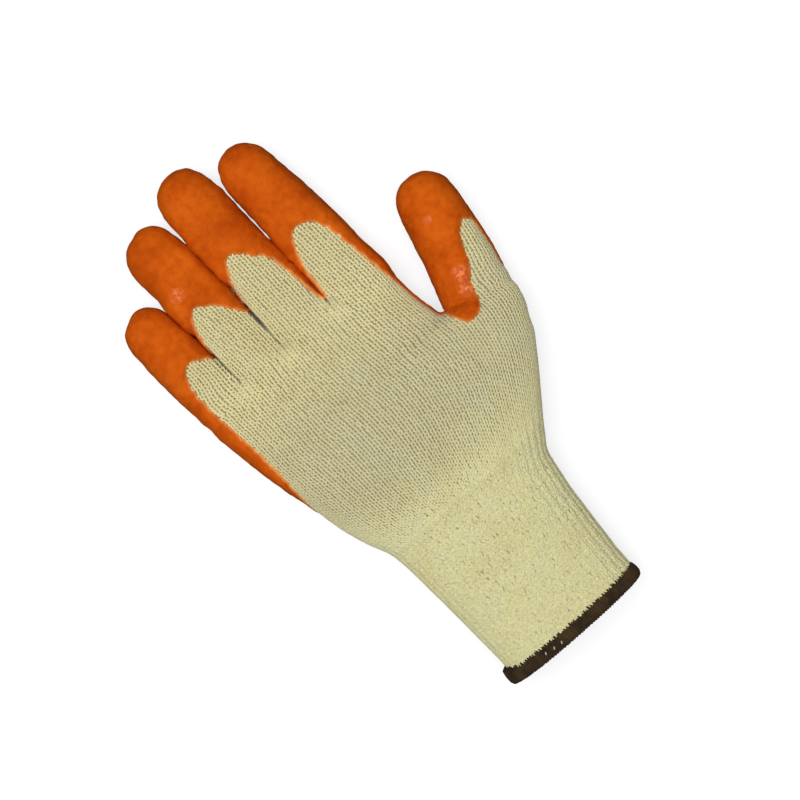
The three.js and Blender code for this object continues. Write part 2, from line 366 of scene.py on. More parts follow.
# The creases between their roots are shallow: how far they reach, the height that they rise towards,
# the share of the way that they rise, and the heights between which that sets in
CREASE_ENDS = [10.0, 12.0, 5.0]
CREASE_HEIGHT = 18.5
CREASE_FILL = 0.75
CREASE_HEIGHTS = (7.0, 11.0)

# Where the glove is pulled out of its even shape: middle in plan, radius, and shift
PULLS = [
    ((-48.0, 214.0), 9.0, (0.5, 1.4)), ((-60.0, 186.0), 16.0, (-0.5, 0.0)), ((-25.0, 239.0), 9.0, (0.4, 1.0)),
    ((5.0, 240.0), 8.0, (-0.6, -0.3)), ((19.0, 241.0), 10.0, (-0.3, 0.7)), ((37.0, 202.0), 24.0, (0.8, 0.0)),
    ((64.0, 162.0), 36.0, (1.0, 0.3)), ((72.0, 122.0), 13.0, (0.9, 0.0)), ((50.0, 148.0), 11.0, (0.5, 0.0)),
    ((40.0, 150.0), 14.0, (-0.6, 0.0)), ((36.0, 56.0), 18.0, (-0.6, 0.0)),
]
# The cuff's width, in shares of the CAD's, and where that ends past the wrist
CUFF_GRIP = 0.987
GRIP_ENDS = (60, 90)


def finger_swell(points):
    """How far the knit swells between the fingers, in millimetres."""
    close = SWELL * near_crotch(points, 2.5, 6.0, SWELL_ENDS)
    deep = ROOT_SWELL * near_crotch(points, 2.0, 5.0, ROOT_ENDS)
    return (close + deep) * ramp(points[:, 2], *SWELL_HEIGHTS)


def pulled(points):
    moved = points.copy()
    for middle, radius, shift in PULLS:
        gap = np.hypot(*(points[:, :2] - middle).T)
        moved[:, :2] += ramp(-gap, -radius, -0.4 * radius)[:, None] * shift
    moved[:, 0] *= 1 - (1 - CUFF_GRIP) * (1 - ramp(points[:, 1], *GRIP_ENDS))
    return moved


def swollen(mesh):
    points = mesh_points(mesh)
    crease = near_crotch(points, 1.5, 4.0, CREASE_ENDS) * ramp(points[:, 2], *CREASE_HEIGHTS)
    points = points + mesh_normals(mesh) * finger_swell(points)[:, None]
    points[:, 2] += CREASE_FILL * crease * np.maximum(CREASE_HEIGHT - points[:, 2], 0)
    set_points(mesh, pulled(points))
    return mesh


fine = swollen(knit_shell(*FINE_FORM))
fine_points = mesh_points(fine)
fine_normals = mesh_normals(fine)
fine_faces = face_array(fine)
fine_outer = outer_vertices(fine)
skin_faces = fine_faces[fine_outer[fine_faces].all(1)]
skin = BVHTree.FromPolygons([Vector(p) for p in fine_points], skin_faces.tolist())
# A height well clear of the glove, above and below
CLEAR = 70.0


def land(x, y, side):
    """The outer surface under a point in plan, seen from above (side 1) or below (side -1)."""
    hit, normal, _, _ = skin.ray_cast(Vector((x, y, CLEAR * side)), Vector((0, 0, -side)))
    return hit, normal


# Materials


def shader(name):
    material = bpy.data.materials.new(name)
    material.use_nodes = True
    nodes = material.node_tree.nodes
    return material, nodes, material.node_tree.links, nodes["Principled BSDF"]


def noise_node(nodes, links, coordinate, feature_mm, detail, roughness):
    node = nodes.new("ShaderNodeTexNoise")
    node.inputs["Scale"].default_value = 1000 / feature_mm
    node.inputs["Detail"].default_value = detail
    node.inputs["Roughness"].default_value = roughness
    links.new(coordinate.outputs["Object"], node.inputs["Vector"])
    return node


def ramp_node(nodes, links, factor, stops):
    node = nodes.new("ShaderNodeValToRGB")
    ramp_elements = node.color_ramp.elements
    ramp_elements[0].position, ramp_elements[0].color = stops[0][0], (*stops[0][1], 1)
    ramp_elements[1].position, ramp_elements[1].color = stops[-1][0], (*stops[-1][1], 1)
    for place, colour in stops[1:-1]:
        element = ramp_elements.new(place)
        element.color = (*colour, 1)
    links.new(factor, node.inputs["Fac"])
    return node


def mix_node(nodes, links, kind, share, first, second):
    node = nodes.new("ShaderNodeMix")
    node.data_type = "RGBA"
    node.blend_type = kind
    if isinstance(share, float):
        node.inputs[0].default_value = share
    else:
        links.new(share, node.inputs[0])
    links.new(first, node.inputs[6])
    links.new(second, node.inputs[7])
    return node.outputs[2]


def bump_node(nodes, links, height, strength, distance_mm, before=None):
    node = nodes.new("ShaderNodeBump")
    node.inputs["Strength"].default_value = strength
    node.inputs["Distance"].default_value = distance_mm * MM
    links.new(height, node.inputs["Height"])
    if before:
        links.new(before, node.inputs["Normal"])
    return node.outputs["Normal"]


# Tones of the knit along the glove, against that of the palm: share of the way from
# the cuff to the fingers, and colour
TONES_FROM, TONES_TO = 68.0, 175.0
TONES = [
    (0.0, (1.17, 1.2, 1.12)), (0.34, (1.0, 1.0, 1.0)), (0.6, (1.03, 1.02, 1.0)), (0.85, (1.2, 1.18, 1.09)),
    (1.0, (1.13, 1.1, 1.0)),
]


def tone_along(nodes, links, coordinate):
    """The knit's tone, from the tight cuff to the stretched fingers."""
    place = nodes.new("ShaderNodeSeparateXYZ")
    links.new(coordinate.outputs["Object"], place.inputs["Vector"])
    share = nodes.new("ShaderNodeMapRange")
    share.inputs["From Min"].default_value = to_row((0, TONES_FROM, 0))[1]
    share.inputs["From Max"].default_value = to_row((0, TONES_TO, 0))[1]
    links.new(place.outputs["Y"], share.inputs["Value"])
    return ramp_node(nodes, links, share.outputs["Result"], TONES).outputs["Color"]


def yarn_material(name, stops, mottle_mm=14.0, fleck_dark=0.8, sheen=0.25, fades=False):
    """Matte spun yarn: broad mottling, small flecks and fine fibres."""
    material, nodes, links, surface = shader(name)
    coordinate = nodes.new("ShaderNodeTexCoord")
    broad = noise_node(nodes, links, coordinate, mottle_mm, 2.0, 0.55)
    fleck = noise_node(nodes, links, coordinate, 0.9, 3.0, 0.7)
    fibre = noise_node(nodes, links, coordinate, 0.35, 2.0, 0.6)
    tone = ramp_node(nodes, links, broad.outputs["Fac"], stops)
    grey = ramp_node(nodes, links, fleck.outputs["Fac"], [(0.3, (fleck_dark,) * 3), (0.7, (1.0, 1.0, 1.0))])
    colour = mix_node(nodes, links, "MULTIPLY", 0.8, tone.outputs["Color"], grey.outputs["Color"])
    if fades:
        colour = mix_node(nodes, links, "MULTIPLY", 1.0, colour, tone_along(nodes, links, coordinate))
    links.new(colour, surface.inputs["Base Color"])
    surface.inputs["Roughness"].default_value = 0.92
    surface.inputs["Specular IOR Level"].default_value = 0.2
    surface.inputs["Sheen Weight"].default_value = sheen
    surface.inputs["Sheen Roughness"].default_value = 0.6
    links.new(bump_node(nodes, links, fibre.outputs["Fac"], 0.6, 0.12), surface.inputs["Normal"])
    return material


# Patches where the latex is crinkled and glossy, with a painted highlight of paler colour on its crinkle
# crests: middle in plan, and radius in millimetres
GLOSSY_PATCHES = [((-33.3, 210.0), 4.0), ((57.5, 141.0), 4.8), ((55.0, 135.4), 4.2), ((62.0, 166.0), 2.6)]


def patch_mask(nodes, links, coordinate):
    """From 1 in the middle of the glossy patches to 0 outside them."""
    total = None
    for place, radius in GLOSSY_PATCHES:
        gap = nodes.new("ShaderNodeVectorMath")
        gap.operation = "DISTANCE"
        links.new(coordinate.outputs["Object"], gap.inputs[0])
        gap.inputs[1].default_value = to_row(land(*place, 1)[0])
        share = nodes.new("ShaderNodeMapRange")
        share.inputs["From Min"].default_value = radius * MM
        share.inputs["From Max"].default_value = 0.3 * radius * MM
        links.new(gap.outputs["Value"], share.inputs["Value"])
        if total is None:
            total = share.outputs["Result"]
            continue
        most = nodes.new("ShaderNodeMath")
        most.operation = "MAXIMUM"
        links.new(total, most.inputs[0])
        links.new(share.outputs["Result"], most.inputs[1])
        total = most.outputs["Value"]
    return total


def between(nodes, links, share, low, high):
    """A number that goes from low to high with a share from 0 to 1."""
    node = nodes.new("ShaderNodeMapRange")
    node.inputs["To Min"].default_value = low
    node.inputs["To Max"].default_value = high
    links.new(share, node.inputs["Value"])
    return node.outputs["Result"]


def latex_material():
    material, nodes, links, surface = shader("orange_latex")
    coordinate = nodes.new("ShaderNodeTexCoord")
    broad = noise_node(nodes, links, coordinate, 17.0, 2.0, 0.5)
    blotch = noise_node(nodes, links, coordinate, 3.2, 3.0, 0.6)
    fine_noise = noise_node(nodes, links, coordinate, 0.8, 3.0, 0.6)
    tone = ramp_node(nodes, links, broad.outputs["Fac"], [
        (0.3, (0.42, 0.06, 0.0025)), (0.5, (0.5, 0.08, 0.0035)), (0.72, (0.56, 0.1, 0.005)),
    ])
    patch = ramp_node(nodes, links, blotch.outputs["Fac"], [
        (0.32, (0.8, 0.72, 0.6)), (0.55, (1.0, 1.0, 1.0)), (0.75, (1.08, 1.16, 1.5)),
    ])
    colour = mix_node(nodes, links, "MULTIPLY", 0.75, tone.outputs["Color"], patch.outputs["Color"])
    thin = nodes.new("ShaderNodeAttribute")
    thin.attribute_name = "thin"
    stain = nodes.new("ShaderNodeRGB")
    stain.outputs[0].default_value = (0.78, 0.36, 0.11, 1)
    colour = mix_node(nodes, links, "MIX", thin.outputs["Fac"], colour, stain.outputs[0])
    glossy = patch_mask(nodes, links, coordinate)
    wrinkle = noise_node(nodes, links, coordinate, 1.7, 3.0, 0.6)
    crest = ramp_node(nodes, links, wrinkle.outputs["Fac"], [(0.46, (0.0,) * 3), (0.62, (0.7,) * 3)])
    # Painted highlight: the crinkle crests in the glossy patches take a paler orange
    painted_highlight = nodes.new("ShaderNodeMath")
    painted_highlight.operation = "MULTIPLY"
    links.new(glossy, painted_highlight.inputs[0])
    links.new(crest.outputs["Color"], painted_highlight.inputs[1])
    painted_highlight_colour = nodes.new("ShaderNodeRGB")
    painted_highlight_colour.outputs[0].default_value = (0.95, 0.23, 0.06, 1)
    colour = mix_node(nodes, links, "MIX", painted_highlight.outputs["Value"], colour, painted_highlight_colour.outputs[0])
    links.new(colour, surface.inputs["Base Color"])
    links.new(between(nodes, links, glossy, 0.5, 0.3), surface.inputs["Roughness"])
    surface.inputs["Specular IOR Level"].default_value = 0.1
    surface.inputs["Specular Tint"].default_value = (1.0, 0.45, 0.12, 1)
    links.new(between(nodes, links, glossy, 0.0, 0.45), surface.inputs["Coat Weight"])
    surface.inputs["Coat Roughness"].default_value = 0.2
    links.new(bump_node(nodes, links, wrinkle.outputs["Fac"], 1.0, 0.9), surface.inputs["Coat Normal"])
    crinkle = bump_node(nodes, links, blotch.outputs["Fac"], 0.5, 0.5)
    links.new(between(nodes, links, glossy, 0.4, 1.0), crinkle.node.inputs["Strength"])
    normal = bump_node(nodes, links, fine_noise.outputs["Fac"], 0.45, 0.16, crinkle)
    links.new(normal, surface.inputs["Normal"])
    return material


CREAM = [(0.3, (0.56, 0.505, 0.275)), (0.5, (0.585, 0.535, 0.3)), (0.7, (0.568, 0.535, 0.318))]
# Painted shade: a darker cream for the liner, seen in the holes between the stitches
PAINTED_SHADE_CREAM = [(0.3, (0.28, 0.24, 0.12)), (0.7, (0.35, 0.31, 0.165))]
BROWN = [(0.3, (0.016, 0.009, 0.003)), (0.7, (0.056, 0.030, 0.010))]
PALE = [(0.3, (0.36, 0.3, 0.24)), (0.7, (0.5, 0.43, 0.36))]
knit_yarn = yarn_material("cream_yarn", CREAM, fades=True)
cuff_yarn = yarn_material("cream_cuff_yarn", CREAM, fleck_dark=0.6, fades=True)
# The liner's outer side, in painted shade
painted_shade_yarn = yarn_material("cream_yarn_in_shade", PAINTED_SHADE_CREAM)
inner_yarn = yarn_material("cream_yarn_inside", CREAM)
hem_yarn = yarn_material("brown_overlock_thread", BROWN, 5.0, sheen=0.02)
pale_thread = yarn_material("pale_thread", PALE, 2.0)
latex = latex_material()


def dress(obj, slot, *materials):
    obj.data.materials.clear()
    for material in materials:
        obj.data.materials.append(material)
    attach(obj, "root")


# Liner under the stitches; its outer side is painted shade, a darker cream that shows in the holes between
# them

# How far it lies under the outer surface
UNDER_STITCHES = 0.56
# The liner's own rim, which the hem covers
LINER_START = 3.4


def make_liner():
    mesh = swollen(knit_shell(*LINER_FORM))
    points = mesh_points(mesh)
    outer = outer_vertices(mesh)
    normals = mesh_normals(mesh)
    points = points - normals * (UNDER_STITCHES * outer)[:, None]
    by_rim = points[:, 1] < LINER_START * 2
    points[by_rim, 1] = LINER_START + points[by_rim, 1] / 2
    set_points(mesh, points)
    mesh.shade_smooth()
    liner = link("knit_liner", mesh)
    dress(liner, "knit", painted_shade_yarn, inner_yarn)
    faces = face_array(mesh)
    inside = ~outer[faces].all(1)
    mesh.polygons.foreach_set("material_index", inside.astype(int))
    return liner


liner = make_liner()
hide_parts(*KNIT_NODES)

# Latex coating

# Its height over the outer surface, and the least that swollen fingers leave of it
COAT_HEIGHT = 1.3
COAT_LEAST = 0.45
# What the coats of neighbouring fingers add until they touch
COAT_TOUCH = 1.0
COAT_WALL = 0.8
# Depth in the bath where the coat ends, and up to which its slope is worked out
COAT_EDGE = -0.35
EDGE_REACH = 9.0
# How far points are moved to the edge, and the least slope that counts for it
SNAP_REACH = 0.62
LEAST_SLOPE = 0.55
# Height of the thin edge where it starts, inside the knit, and where the full coat begins
EDGE_START = -0.9
EDGE_HEIGHT = 0.35
# How much the knit's colour shows through the thin edge
STAIN = 0.75


def edge_depth(points):
    """Depth in the bath of latex along its slightly uneven edge."""
    return dip_depth(points) + 0.28 * lumps(points, 4.2, 3) + 0.16 * lumps(points, 1.9, 4)


def edge_slope(points):
    """How fast the depth in the bath changes in each direction."""
    step = 0.05
    return np.column_stack([
        (edge_depth(points + np.array(way)) - edge_depth(points - np.array(way))) / (2 * step)
        for way in ((step, 0, 0), (0, step, 0), (0, 0, step))
    ])


def snap_to_edge(points, depth, slope):
    """Moves the points by the edge of the coating on to it, so that its rim is smooth."""
    near = np.abs(depth - COAT_EDGE) < SNAP_REACH
    steepness = np.linalg.norm(slope[near], axis=1)
    move = (COAT_EDGE - depth[near]) / np.clip(steepness, LEAST_SLOPE, 1)
    move = np.clip(move, -SNAP_REACH, SNAP_REACH)
    moved = points.copy()
    moved[near] += slope[near] * (move / np.maximum(steepness, 1e-9))[:, None]
    return moved


def make_coating():
    points = fine_points
    used = fine_outer & (points[:, 1] > CUFF_LENGTH)
    depth = np.full(len(points), -EDGE_REACH)
    depth[used] = edge_depth(points[used])
    near = used & (np.abs(depth) < EDGE_REACH)
    slope = np.zeros((len(points), 3))
    slope[near] = edge_slope(points[near])
    # Where the bath line turns under the hand the depth grows fast: this makes it a distance again
    depth /= np.maximum(np.linalg.norm(slope, axis=1), 1)
    faces = skin_faces[(depth[skin_faces] > COAT_EDGE - SNAP_REACH).all(1)]
    faces = faces[(depth[faces] > COAT_EDGE).any(1)]
    keep = np.unique(faces)
    index = np.full(len(points), -1)
    index[keep] = np.arange(len(keep))
    points, normals, depth, slope = points[keep], fine_normals[keep], depth[keep], slope[keep]
    outside = depth < COAT_EDGE
    snapped = snap_to_edge(points, np.where(outside, depth, EDGE_REACH), slope)
    depth = np.where(outside, COAT_EDGE, depth)
    touching = COAT_TOUCH * near_crotch(points, 3.0, 7.0, CLOSE_UNTIL)
    full = np.maximum(COAT_HEIGHT + touching - finger_swell(points), COAT_LEAST)
    height = EDGE_START + (EDGE_HEIGHT - EDGE_START) * ramp(depth, COAT_EDGE, -0.05)
    height += (full - EDGE_HEIGHT) * ramp(depth, 0.0, 2.2)
    crinkle = 0.09 * lumps(points, 5.2, 5) + 0.07 * lumps(points, 2.6, 6)
    height += crinkle * ramp(depth, 0.3, 2.0)
    mesh = mesh_from("latex_coat", snapped + normals * height[:, None], index[faces].tolist())
    thin = mesh.attributes.new("thin", "FLOAT", "POINT")
    thin.data.foreach_set("value", STAIN * (1 - ramp(depth, COAT_EDGE, 0.7)))
    obj = link("latex_coat_sheet", mesh)
    wall = obj.modifiers.new("wall", "SOLIDIFY")
    wall.thickness = COAT_WALL * MM
    wall.offset = -1
    coat = link("latex_coat", evaluated(obj))
    coat.data.shade_smooth()
    return coat


coat = make_coating()
dress(coat, "latex", latex)
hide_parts("latex_coating")

# Courses and wales of the knit

COURSE = 1.55
CUFF_COURSE = 1.6
FIRST_COURSE = 6.6
WALE = 2.6
# Middle height of the side walls
SIDE_HEIGHT = 13.0
COURSE_POINTS = 110

# Where the wales of the thumb leave those of the palm
THUMB_BORDER = np.array([
    (0.0, 14.0), (30.0, 14.5), (60.0, 18.5), (75.0, 25.0), (95.0, 34.4), (105.0, 38.8), (115.0, 41.3),
    (125.0, 42.2), (134.0, 41.2), (150.0, 39.0),
])


def silhouette(start, way, reach=70.0):
    """The last point in plan that still lies over the glove, going out from start."""
    low, step = 0.0, 1.0
    while low + step < reach and land(*(start + way * (low + step)), 1)[0]:
        low += step
    high = low + step
    for _ in range(8):
        middle = (low + high) / 2
        if land(*(start + way * middle), 1)[0]:
            low = middle
        else:
            high = middle
    return start + way * low


def course_line(corners, side, pinned=(True, True)):
    """Points and normals where a course in plan lies on the surface; a pinned end is on the side wall."""
    corners = np.array(corners)
    spans = np.linalg.norm(np.diff(corners, axis=0), axis=1)
    along = np.concatenate([[0], np.cumsum(spans)])
    share = 0.5 - 0.5 * np.cos(np.linspace(0, math.pi, COURSE_POINTS))
    places = np.column_stack([np.interp(share * along[-1], along, corners[:, i]) for i in range(2)])
    points, normals = [], []
    for i, (x, y) in enumerate(places):
        if (i == 0 and pinned[0]) or (i == COURSE_POINTS - 1 and pinned[1]):
            hit, normal, _, _ = skin.find_nearest(Vector((x, y, SIDE_HEIGHT)))
        else:
            hit, normal = land(x, y, side)
        if hit is None:
            continue
        points.append(hit)
        normals.append(normal)
    return np.array(points), np.array(normals)


def at_lengths(points, normals, lengths, wanted):
    place = np.column_stack([np.interp(wanted, lengths, points[:, i]) for i in range(3)])
    way = np.column_stack([np.interp(wanted, lengths, normals[:, i]) for i in range(3)])
    return place, way / np.linalg.norm(way, axis=1)[:, None]


def arc_lengths(points):
    return np.concatenate([[0], np.cumsum(np.linalg.norm(np.diff(points, axis=0), axis=1))])


def wales_between(marks, counts):
    """Boundaries of the wales: each stretch between two marks holds its own number of them."""
    total = np.concatenate([[0], np.cumsum(counts)])
    return np.interp(np.arange(round(total[-1]) + 1), total, marks)


PALM_WALES = sum(DIGITS[name]["wales"] for name in FINGERS)
THUMB_WALES = DIGITS["thumb"]["wales"]
# How far courses drop over the thumb's root, over what width, and where that sets in
THUMB_ROOT_SLANT = 6.0
SLANT_WIDTH = 30.0
SLANT_FROM = 70
# The thumb's crotch and the roots of the fingers, along the glove
CROTCH_Y = 134.0
ROOTS_Y = 166.0
# Where the palm's even wales turn into those shared out among the fingers
SHARED_OUT = (118, 162)
# Wales by the thumb's border that take up what its steep side adds to a course
BORDER_WALES = 1.5


def palm_wales(y, points, lengths, end):
    """Boundaries of the palm's wales on one course, shared out among the fingers towards their roots."""
    border = np.interp(y, THUMB_BORDER[:, 0], THUMB_BORDER[:, 1])
    inset = BORDER_WALES * (border - points[0, 0]) / PALM_WALES
    inner = np.interp(border - inset, points[:, 0], lengths)
    even = wales_between([0, inner, end], [PALM_WALES - BORDER_WALES, BORDER_WALES])
    edges = [DIGITS[n]["x"] + DIGITS[n]["width"] / 2 for n in FINGERS[:-1]]
    counts = [DIGITS[n]["wales"] for n in FINGERS]
    counts = [*counts[:-1], counts[-1] - BORDER_WALES, BORDER_WALES]
    shared = wales_between([0, *np.interp(edges, points[:, 0], lengths), inner, end], counts)
    share = float(ramp(y, *SHARED_OUT))
    return (1 - share) * even + share * shared


def course_heights():
    cuff = np.arange(FIRST_COURSE, CUFF_LENGTH, CUFF_COURSE)
    count = round((ROOTS_Y - cuff[-1]) / COURSE)
    return np.concatenate([cuff, np.linspace(cuff[-1], ROOTS_Y, count + 1)[1:]])


HEIGHTS = course_heights()


def hand_rows(side):
    """Courses from the hem to the thumb's crotch, over one side of the whole hand."""
    rows = []
    for y in HEIGHTS[HEIGHTS < CROTCH_Y]:
        border = np.interp(y, THUMB_BORDER[:, 0], THUMB_BORDER[:, 1])
        slant = THUMB_ROOT_SLANT * float(ramp(y, SLANT_FROM, CROTCH_Y))
        left = silhouette(np.array([0.0, y]), np.array([-1.0, 0.0]))
        way = np.array([SLANT_WIDTH, -slant])
        right = silhouette(np.array([border, y]), way / np.linalg.norm(way))
        points, normals = course_line([left, (border, y), right], side)
        lengths = arc_lengths(points)
        at_border = np.interp(border, points[:, 0], lengths)
        palm = palm_wales(y, points, lengths, at_border)
        thumb = np.linspace(at_border, lengths[-1], THUMB_WALES + 1)[1:]
        rows.append(at_lengths(points, normals, lengths, np.concatenate([palm, thumb])))
    return rows


# Courses that end this close to the thumb's border go down to the side of the glove
AT_SIDE = 2


def knuckle_rows():
    """Courses of the back from the thumb's crotch to the roots of the fingers."""
    rows = []
    for y in HEIGHTS[HEIGHTS >= CROTCH_Y]:
        left = silhouette(np.array([0.0, y]), np.array([-1.0, 0.0]))
        right = silhouette(np.array([10.0, y]), np.array([1.0, 0.0]), 50.0)
        border = np.interp(y, THUMB_BORDER[:, 0], THUMB_BORDER[:, 1])
        ends_at_side = right[0] < border + AT_SIDE
        if not ends_at_side:
            right[0] = border
        points, normals = course_line([left, right], 1, (True, ends_at_side))
        lengths = arc_lengths(points)
        rows.append(at_lengths(points, normals, lengths, palm_wales(y, points, lengths, lengths[-1])))
    return rows


# Where the courses square to the thumb start and end, from its root
THUMB_SPAN = (-1.2, 30.0)


def thumb_courses():
    """Courses across the thumb's back, square to its axis."""
    digit = DIGITS["thumb"]
    turn = math.radians(digit["lean"])
    way = np.array([math.cos(turn), -math.sin(turn)])
    rows = []
    for along in np.arange(*THUMB_SPAN, COURSE):
        centre = digit_point("thumb", along, 0)
        left = silhouette(centre, -way, digit["width"] / 2)
        right = silhouette(centre, way, digit["width"] / 2)
        points, normals = course_line([left, right], 1)
        lengths = arc_lengths(points)
        rows.append(at_lengths(points, normals, lengths, np.linspace(0, lengths[-1], digit["wales"] + 1)))
    return rows


# How far the wales bow round a finger's back, in radians from its middle
FINGER_BOW = 0.7
# How far from its root a finger's courses have turned square to it, and where they end
FINGER_TURN = 14
FINGER_END = 46.0


def finger_rows(name, root):
    """Courses across one finger's back, from the palm's wales at its root to an even bow."""
    digit = DIGITS[name]
    half = digit["width"] / 2
    spread = (root - digit["x"]) / half
    bowed = np.sin(np.linspace(-1, 1, digit["wales"] + 1) * FINGER_BOW) / math.sin(FINGER_BOW)
    rows = []
    for along in np.arange(COURSE, FINGER_END, COURSE):
        turn = math.radians(digit["lean"]) * float(ramp(along, -2, FINGER_TURN))
        way = np.array([math.cos(turn), -math.sin(turn)])
        centre = digit_point(name, along, 0)
        low = np.linalg.norm(silhouette(centre, -way, half) - centre) - 0.1
        high = np.linalg.norm(silhouette(centre, way, half) - centre) - 0.1
        share = float(ramp(along, 0, FINGER_TURN))
        course = []
        for across in np.clip(half * ((1 - share) * spread + share * bowed), -low, high):
            hit, normal = land(*(centre + way * across), 1)
            while hit is None:
                across *= 0.97
                hit, normal = land(*(centre + way * across), 1)
            course.append((hit, normal))
        rows.append((np.array([hit for hit, _ in course]), np.array([normal for _, normal in course])))
    return rows


# Stitches

# The middle line of a stitch's right leg: across in wales from the stitch's middle,
# along in courses, and depth under the surface in millimetres. The left leg mirrors it
LEG = [(0.1, -0.75, -0.7), (0.145, -0.2, -0.25), (0.34, 0.66, -0.22), (0.43, 1.15, -0.62)]
CUFF_LEG = [(0.05, -0.8, -0.75), (0.13, -0.15, -0.42), (0.36, 0.6, -0.38), (0.46, 1.2, -0.7)]
LEG_SIDES = 6
# Half width of a leg in wales, on the hand and on the cuff, and its half thickness in millimetres
LEG_WIDE = 0.178
CUFF_LEG_WIDE = 0.29
LEG_THICK = 0.42
# How unevenly the stitches sit, in shares of a stitch
SPREAD = 0.028
CUFF_SPREAD = 0.09
# How far every second wale of the cuff sinks, and how unevenly its stitches do
CUFF_RIB = 0.16
CUFF_UNEVEN = 0.03
# Depth in the bath down to which stitches are made
COVERED = 1.3
# Where the cuff's dense stitches turn into the hand's, and where the felted ones by the wrist end
DENSE_ENDS = (62, 90)
FELTED_ENDS = (74, 104)
# Where the knit is felted: middle in plan, and radius
FELTED = [(-38.5, 163, 5.5), (-16, 163, 5.0), (10, 165, 6.0), (47, 113, 8.0), (46, 128, 6.0)]


def grid_at(grid, along, across):
    """Bilinear look-up in a grid of courses and wales, carried on past its edges."""
    j = np.clip(np.floor(along).astype(int), 0, grid.shape[0] - 2)
    k = np.clip(np.floor(across).astype(int), 0, grid.shape[1] - 2)
    v, u = (along - j)[..., None], (across - k)[..., None]
    return ((1 - v) * ((1 - u) * grid[j, k] + u * grid[j, k + 1])
            + v * ((1 - u) * grid[j + 1, k] + u * grid[j + 1, k + 1]))


def unit(vectors):
    return vectors / np.maximum(np.linalg.norm(vectors, axis=-1, keepdims=True), 1e-9)


def felting(points):
    """Where the knit is tight or fuzzy and shows no holes: below the crotches and at the thumb's base."""
    total = np.zeros(len(points))
    for x, y, size in FELTED:
        gap = np.hypot(points[:, 0] - x, points[:, 1] - y)
        total = np.maximum(total, ramp(-gap, -size * 1.5, -size * 0.5))
    return total


def stitches(rows):
    """Meshes both legs of every stitch on a grid, apart from those well under the latex."""
    points = np.array([row[0] for row in rows])
    normals = np.array([row[1] for row in rows])
    courses, wales = points.shape[0] - 1, points.shape[1] - 1
    j, k = np.meshgrid(np.arange(courses), np.arange(wales), indexing="ij")
    j, k = j.ravel(), k.ravel()
    middle = grid_at(points, j + 0.5, k + 0.5)
    bare = dip_depth(middle) < COVERED
    j, k, middle = j[bare], k[bare], middle[bare]
    pitch = np.linalg.norm(grid_at(points, j + 0.5, k + 1.0) - grid_at(points, j + 0.5, k + 0.0), axis=1)
    by_wrist = ramp(-middle[:, 1], -FELTED_ENDS[1], -FELTED_ENDS[0])
    soft = np.clip(felting(middle) + by_wrist, 0, 1)
    dense = ramp(-middle[:, 1], -DENSE_ENDS[1], -DENSE_ENDS[0])
    soaked = 0.25 * ramp(dip_depth(middle), -0.6, 0.6)
    centres, outs, sizes = [], [], []
    for side in (1, -1):
        size = random.uniform(0.9, 1.12, len(j)) * (1 + 0.24 * soft)
        shift = random.normal(0, 1, (2, len(j))) * (SPREAD + dense * (CUFF_SPREAD - SPREAD))
        ribs = CUFF_RIB * (k % 2) * (0.4 + 1.8 * ramp(np.abs(middle[:, 0]), 16, 30))
        sink = soaked + dense * (ribs + CUFF_UNEVEN * random.normal(0, 1, len(j)))
        path, out = [], []
        for hand, cuff in zip(LEG, CUFF_LEG):
            across, along, depth = [a + dense * (b - a) for a, b in zip(hand, cuff)]
            u = k + 0.5 + side * across + shift[0]
            v = j + 0.5 + along + shift[1]
            normal = unit(grid_at(normals, v, u))
            scale = np.minimum(pitch / WALE, 1.0)[:, None]
            path.append(grid_at(points, v, u) + normal * (depth[:, None] * scale - sink[:, None]))
            out.append(normal)
        centres.append(np.array(path))
        outs.append(np.array(out))
        sizes.append(size)
    wide = (LEG_WIDE + dense * (CUFF_LEG_WIDE - LEG_WIDE)) * pitch
    wide = np.concatenate([wide, wide])
    path = np.concatenate(centres, axis=1)
    out = np.concatenate(outs, axis=1)
    size = np.concatenate(sizes)
    pitch = np.concatenate([pitch, pitch])
    turns = 2 * np.pi * np.arange(LEG_SIDES) / LEG_SIDES
    rings = []
    for i in (1, 2):
        along = unit(path[i + 1] - path[i - 1])
        across = unit(np.cross(along, out[i]))
        up = np.cross(across, along)
        high = (np.minimum(LEG_THICK, 0.3 * pitch) * size)[:, None, None]
        broad = (wide * size)[:, None, None]
        rings.append(path[i][:, None] + broad * np.cos(turns)[None, :, None] * across[:, None]
                     + high * np.sin(turns)[None, :, None] * up[:, None])
    count = len(size)
    per = 2 + 2 * LEG_SIDES
    verts = np.concatenate([path[0][:, None], rings[0], rings[1], path[3][:, None]], axis=1).reshape(-1, 3)
    first = (np.arange(count) * per)[:, None]
    faces = []
    for s in range(LEG_SIDES):
        t = (s + 1) % LEG_SIDES
        a, b, c, d = 1 + s, 1 + t, 1 + LEG_SIDES + s, 1 + LEG_SIDES + t
        faces += np.hstack([first, first + b, first + a]).tolist()
        faces += np.hstack([first + a, first + b, first + d, first + c]).tolist()
        faces += np.hstack([first + c, first + d, first + per - 1]).tolist()
    return verts, faces


def joined(parts):
    points, faces, start = [], [], 0
    for verts, polygons in parts:
        points.append(verts)
        faces += [[i + start for i in polygon] for polygon in polygons]
        start += len(verts)
    return np.concatenate(points), faces


def knit_piece(name, grids, slot, material):
    points, faces = joined([stitches(rows) for rows in grids])
    dress(link(name, mesh_from(name, points, faces)), slot, material)


def part_of(rows, first, last):
    return [(points[first:last + 1], normals[first:last + 1]) for points, normals in rows]


